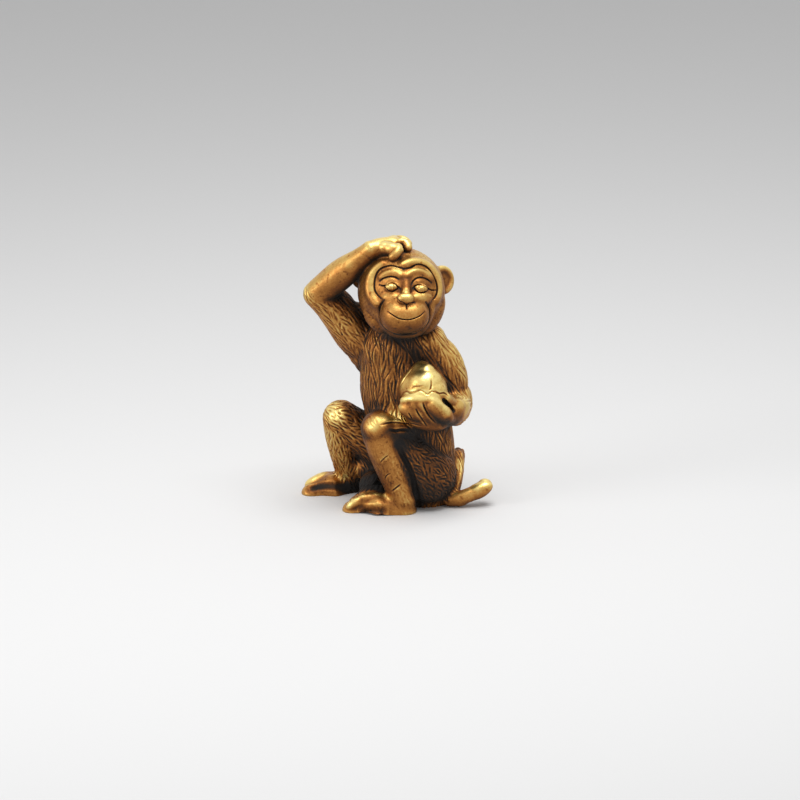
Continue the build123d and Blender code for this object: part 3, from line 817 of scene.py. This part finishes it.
# %% Divide the skin
PIECES = {
    "brass_trunk": ["belly", "chest", "neck", "leg_web"],
    "brass_head": ["head", "left_hood_rim", "right_hood_rim"],
    "brass_face": ["face", "left_eye", "right_eye", "left_brow", "right_brow", "muzzle", "nose"],
    "brass_left_ear": ["left_ear"],
    "brass_right_ear": ["right_ear"],
    "brass_right_upper_arm": ["right_upper_arm"],
    "brass_right_forearm": ["right_forearm"],
    "brass_right_hand": ["right_palm", "right_index_finger", "right_middle_finger",
                         "right_ring_finger", "right_little_finger"],
    "brass_left_arm": ["left_upper_arm", "left_forearm"],
    "brass_left_hand": ["left_palm", "left_index_finger", "left_middle_finger",
                        "left_ring_finger", "left_little_finger", "left_thumb"],
    "brass_peach": ["peach", "peach_back_lobe"],
    "brass_left_leg": ["left_thigh", "left_shin"],
    "brass_right_leg": ["right_thigh", "right_shin"],
    "brass_left_foot": ["left_foot"],
    "brass_right_foot": ["right_foot"],
    "brass_tail": ["tail_root", "tail_fall", "tail_curl"],
}
piece_names = list(PIECES)
piece_of_node = np.array([
    next(k for k, piece in enumerate(piece_names) if name in PIECES[piece]) for name in node_names
])
claims = np.stack([soften((piece_of_node[label] == k).astype(float), steps_over(0.5))
                   for k in range(len(piece_names))])
piece_at = claims.argmax(axis=0)
corner = np.array(skin_faces)
corner_votes = np.stack([(piece_at[corner] == k).sum(axis=1) for k in range(len(piece_names))])
face_piece = corner_votes.argmax(axis=0)
print(f"{len(piece_names)} pieces, the largest has {np.bincount(face_piece).max()} triangles")

# %% [markdown]
# Where two pieces meet, a wall turns inwards from the skin and a cap closes it inside the metal,
# so no cap shows at the joint. The wall goes in by a share of the metal's thickness there.

# %% Walls inside the metal
WALL_SHARE, WALL_LEAST, WALL_MOST = 0.4, 0.15, 1.3
UNDER_SKIN = 0.05
normal_carved = read_normals()
inner_place = {}
for index in np.unique(corner[corner_votes.max(axis=0) < 3]):
    inwards = Vector(-normal_carved[index])
    start = Vector(carved[index]) + inwards * UNDER_SKIN
    thickness = carved_tree.ray_cast(start, inwards)[3] or 0.0
    depth = min(max(thickness * WALL_SHARE, WALL_LEAST), WALL_MOST)
    inner_place[index] = carved[index] + np.array(inwards) * depth
print(f"walls: {len(inner_place)} places along the joints")

# %% [markdown]
# Each piece is made of its triangles, its walls and its caps. It keeps the shading normals and the
# wear of the whole skin, with its painted shade and painted light, so no joint shows. A cap that
# reached through the skin would be bare, so the area of cap outside the skin is measured, and it
# should be nought.

# %% Make the pieces
FLOOR_GAP = 0.02
NEARLY_UP = Vector((0.1, 0.2, 0.97))


def rim_of(triangles):
    """The edges that only one of the triangles has, each running as its triangle runs."""
    sides = np.concatenate([triangles[:, [0, 1]], triangles[:, [1, 2]], triangles[:, [2, 0]]])
    _, first, times = np.unique(np.sort(sides, axis=1), axis=0, return_index=True,
                                return_counts=True)
    return sides[first[times == 1]]


def cap_holes(piece):
    """Fills the open rims of a piece."""
    only(piece)
    bpy.ops.object.mode_set(mode="EDIT")
    bpy.ops.mesh.select_mode(type="EDGE")
    bpy.ops.mesh.select_all(action="DESELECT")
    bpy.ops.mesh.select_non_manifold(extend=False)
    bpy.ops.mesh.fill_holes(sides=0)
    bpy.ops.object.mode_set(mode="OBJECT")


def bare_area(mesh, first_cap):
    """The area of cap that lies outside the skin, in square millimetres."""
    area = 0.0
    for triangle in mesh.loop_triangles:
        if triangle.polygon_index >= first_cap:
            middle = sum((mesh.vertices[k].co for k in triangle.vertices), Vector()) / 3 / MM
            hit, way, _, _ = carved_tree.ray_cast(middle, NEARLY_UP)
            if hit is None or way.dot(NEARLY_UP) < 0:
                area += triangle.area / MM**2
    return area


pieces = {}
for number, name in enumerate(piece_names):
    chosen = corner[face_piece == number]
    used = np.unique(chosen)
    rim = rim_of(chosen)
    rim_places = np.unique(rim)
    place_of, inner_of = np.zeros((2, len(base)), int)
    place_of[used] = np.arange(len(used))
    inner_of[rim_places] = len(used) + np.arange(len(rim_places))
    wall = np.stack([place_of[rim[:, 1]], place_of[rim[:, 0]], inner_of[rim[:, 0]],
                     inner_of[rim[:, 1]]], 1)
    inner = np.array([inner_place[index] for index in rim_places])
    inner[:, 2] = np.maximum(inner[:, 2], FLOOR_GAP)
    mesh = bpy.data.meshes.new(name)
    mesh.from_pydata((np.vstack([carved[used], inner]) * MM).tolist(), [],
                     place_of[chosen].tolist() + wall.tolist())
    piece = bpy.data.objects.new(name, mesh)
    bpy.context.scene.collection.objects.link(piece)
    cap_holes(piece)
    mesh.calc_loop_triangles()
    first_cap = len(chosen) + len(wall)
    caps, bare = len(mesh.polygons) - first_cap, bare_area(mesh, first_cap)
    mesh.shade_smooth()
    loops = np.empty(len(mesh.loops), np.int32)
    mesh.loops.foreach_get("vertex_index", loops)
    source = np.concatenate([used, rim_places])
    mesh.normals_split_custom_set(normal_carved[source[loops]].tolist())
    # The value high carries the wear, the patina, the painted shade and the painted light from
    # above into each piece.
    layer = mesh.attributes.new("high", "FLOAT", "POINT")
    layer.data.foreach_set("value", high[source].astype(np.float32))
    pieces[name] = piece
    print(f"{name}: {len(mesh.loop_triangles)} triangles, {caps} caps, {bare:.4f} mm2 bare")
bpy.data.objects.remove(skin)

# %% [markdown]
# Antique brass is one metal in three states: bare and bright where hands rub it, browned where
# they seldom reach, and nearly black in the cuts, where the darkening stays. The value it reads
# also holds painted shade where little sky is seen and painted light on the upward faces. Three
# sizes of noise make the wear uneven: clouds, pits and grain.

# %% The antique brass
CLOUD, PIT, GRAIN = (450, 4), (1500, 2), (4200, 3)
CLOUD_SWING, GRAIN_SWING, GLOSS_SWING = 0.35, 0.22, 0.2
PIT_LIMIT, PIT_EDGE, PIT_DEPTH = 0.6, 5.0, 0.28
COLOURS = [(0.0, (0.006, 0.004, 0.003)), (0.2, (0.035, 0.017, 0.007)),
           (0.42, (0.18, 0.062, 0.014)), (0.62, (0.42, 0.185, 0.045)),
           (0.8, (0.61, 0.41, 0.125)), (1.0, (0.84, 0.66, 0.25))]
METAL = [(0.0, (0.35,) * 3), (0.5, (0.9,) * 3), (1.0, (1.0,) * 3)]
GLOSS = [(0.0, (0.75,) * 3), (0.45, (0.50,) * 3), (1.0, (0.30,) * 3)]


def antique_brass():
    """The finish of the whole casting."""
    material = bpy.data.materials.new("antique_brass")
    material.use_nodes = True
    tree = material.node_tree
    tree.nodes.clear()

    def node(kind, **settings):
        made = tree.nodes.new(kind)
        for key, value in settings.items():
            setattr(made, key, value)
        return made

    def join(a, b):
        tree.links.new(a, b)

    def sums(operation, a, b, clamp=False):
        made = node("ShaderNodeMath", operation=operation, use_clamp=clamp)
        for socket, value in zip(made.inputs, (a, b)):
            if isinstance(value, (int, float)):
                socket.default_value = value
            else:
                join(value, socket)
        return made.outputs[0]

    def swing(value, amount):
        return sums("MULTIPLY", sums("SUBTRACT", value, 0.5), amount)

    def noise(scale, detail):
        made = node("ShaderNodeTexNoise")
        made.inputs["Scale"].default_value = scale
        made.inputs["Detail"].default_value = detail
        made.inputs["Roughness"].default_value = 0.6
        join(place, made.inputs["Vector"])
        return made.outputs[0]

    def ramp(value, stops):
        made = node("ShaderNodeValToRGB")
        while len(made.color_ramp.elements) < len(stops):
            made.color_ramp.elements.new(0.5)
        for element, (position, colour) in zip(made.color_ramp.elements, stops):
            element.position = position
            element.color = (*colour, 1)
        join(value, made.inputs[0])
        return made.outputs[0]

    place = node("ShaderNodeTexCoord").outputs["Object"]
    wear_and_shading = node("ShaderNodeAttribute", attribute_name="high").outputs["Fac"]
    grain = noise(*GRAIN)
    wear_and_shade = sums("ADD", wear_and_shading, swing(noise(*CLOUD), CLOUD_SWING))
    wear_and_shade = sums("ADD", wear_and_shade, swing(grain, GRAIN_SWING))
    pits = sums("MULTIPLY", sums("SUBTRACT", noise(*PIT), PIT_LIMIT), PIT_EDGE, clamp=True)
    wear_and_shade = sums("SUBTRACT", wear_and_shade, sums("MULTIPLY", pits, PIT_DEPTH), clamp=True)
    surface = node("ShaderNodeBsdfPrincipled")
    join(ramp(wear_and_shade, COLOURS), surface.inputs["Base Color"])
    join(ramp(wear_and_shade, METAL), surface.inputs["Metallic"])
    join(ramp(sums("ADD", wear_and_shade, swing(grain, GLOSS_SWING)), GLOSS), surface.inputs["Roughness"])
    bump = node("ShaderNodeBump")
    bump.inputs["Strength"].default_value = 0.35
    bump.inputs["Distance"].default_value = 0.04 * MM
    join(grain, bump.inputs["Height"])
    join(bump.outputs[0], surface.inputs["Normal"])
    out = node("ShaderNodeOutputMaterial")
    join(surface.outputs[0], out.inputs["Surface"])
    return material


brass = antique_brass()
for name, piece in pieces.items():
    piece.data.materials.append(brass)
    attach(piece, "root")
    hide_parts(*PIECES[name])
print(f"finish: {len(brass.node_tree.nodes)} nodes on {len(pieces)} pieces")

# %% [markdown]
# The studio is plain: a pale floor, a broad soft lamp overhead and a weaker one from the left.

# %% The floor and the lamps
bpy.ops.object.select_all(action="DESELECT")
bpy.ops.mesh.primitive_plane_add(size=4.0, location=(0, 0, 0))
floor = bpy.context.object
floor.name = "floor"
pale = bpy.data.materials.new("pale_floor")
pale.use_nodes = True
paint = pale.node_tree.nodes["Principled BSDF"]
paint.inputs["Base Color"].default_value = (0.78, 0.78, 0.78, 1)
paint.inputs["Roughness"].default_value = 0.9
paint.inputs["Specular IOR Level"].default_value = 0.1
floor.data.materials.append(pale)


def lamp(name, place, size, watts):
    """A square soft lamp that points at the middle of the figure; place in millimetres."""
    light = bpy.data.lights.new(name, "AREA")
    light.shape = "SQUARE"
    light.size = size * MM
    light.energy = watts
    made = bpy.data.objects.new(name, light)
    bpy.context.scene.collection.objects.link(made)
    made.location = Vector(place) * MM
    made.rotation_mode = "QUATERNION"
    made.rotation_quaternion = (Vector(place) - MIDDLE).to_track_quat("Z", "Y")


MIDDLE = Vector((0, 0, 20))
lamp("overhead", (20, -40, 260), 170, 0.5)
lamp("left_side", (-240, -120, 120), 120, 0.2)
print("studio: a floor and two lamps")

# %% [markdown]
# The backdrop is white to the camera and in reflections, and dimmer as a light, so that the
# figure keeps its shadows.

# %% The backdrop
DIM, WHITE = 0.45, 1.0
bpy.context.scene.view_settings.view_transform = "Standard"
world = bpy.data.worlds.new("studio")
bpy.context.scene.world = world
world.use_nodes = True
tree = world.node_tree
tree.nodes.clear()
rays = tree.nodes.new("ShaderNodeLightPath")
shows = rays.outputs["Is Camera Ray"]
for kind in ("Is Glossy Ray", "Is Transmission Ray"):
    either = tree.nodes.new("ShaderNodeMath")
    either.operation = "ADD"
    either.use_clamp = True
    tree.links.new(shows, either.inputs[0])
    tree.links.new(rays.outputs[kind], either.inputs[1])
    shows = either.outputs[0]
mix = tree.nodes.new("ShaderNodeMixShader")
tree.links.new(shows, mix.inputs[0])
for slot, strength in ((1, DIM), (2, WHITE)):
    backdrop = tree.nodes.new("ShaderNodeBackground")
    backdrop.inputs["Color"].default_value = (1, 1, 1, 1)
    backdrop.inputs["Strength"].default_value = strength
    tree.links.new(backdrop.outputs[0], mix.inputs[slot])
out = tree.nodes.new("ShaderNodeOutputWorld")
tree.links.new(mix.outputs[0], out.inputs[0])
print(f"backdrop: {WHITE} where it shows, {DIM} as a light")

# %% [markdown]
# The camera looks down by 17 degrees, with the figure as small in the picture as in the photo.

# %% The camera
LENS, SENSOR, FIELD = 250.0, 36.0, 113.5
AIM = np.array([0.494, 1.785, 14.93])
camera_data = bpy.data.cameras.new("camera")
camera_data.lens = LENS
camera_data.sensor_width = SENSOR
camera = bpy.data.objects.new("camera", camera_data)
bpy.context.scene.collection.objects.link(camera)
bpy.context.scene.camera = camera
distance = FIELD * LENS / SENSOR
camera.location = Vector((AIM - AWAY * distance) * MM)
camera.rotation_euler = (math.pi / 2 - TILT, 0, 0)
camera_data.clip_start, camera_data.clip_end = 0.01, 20.0
print(f"camera: {distance:.0f} mm from the figure, {FIELD} mm across the picture")
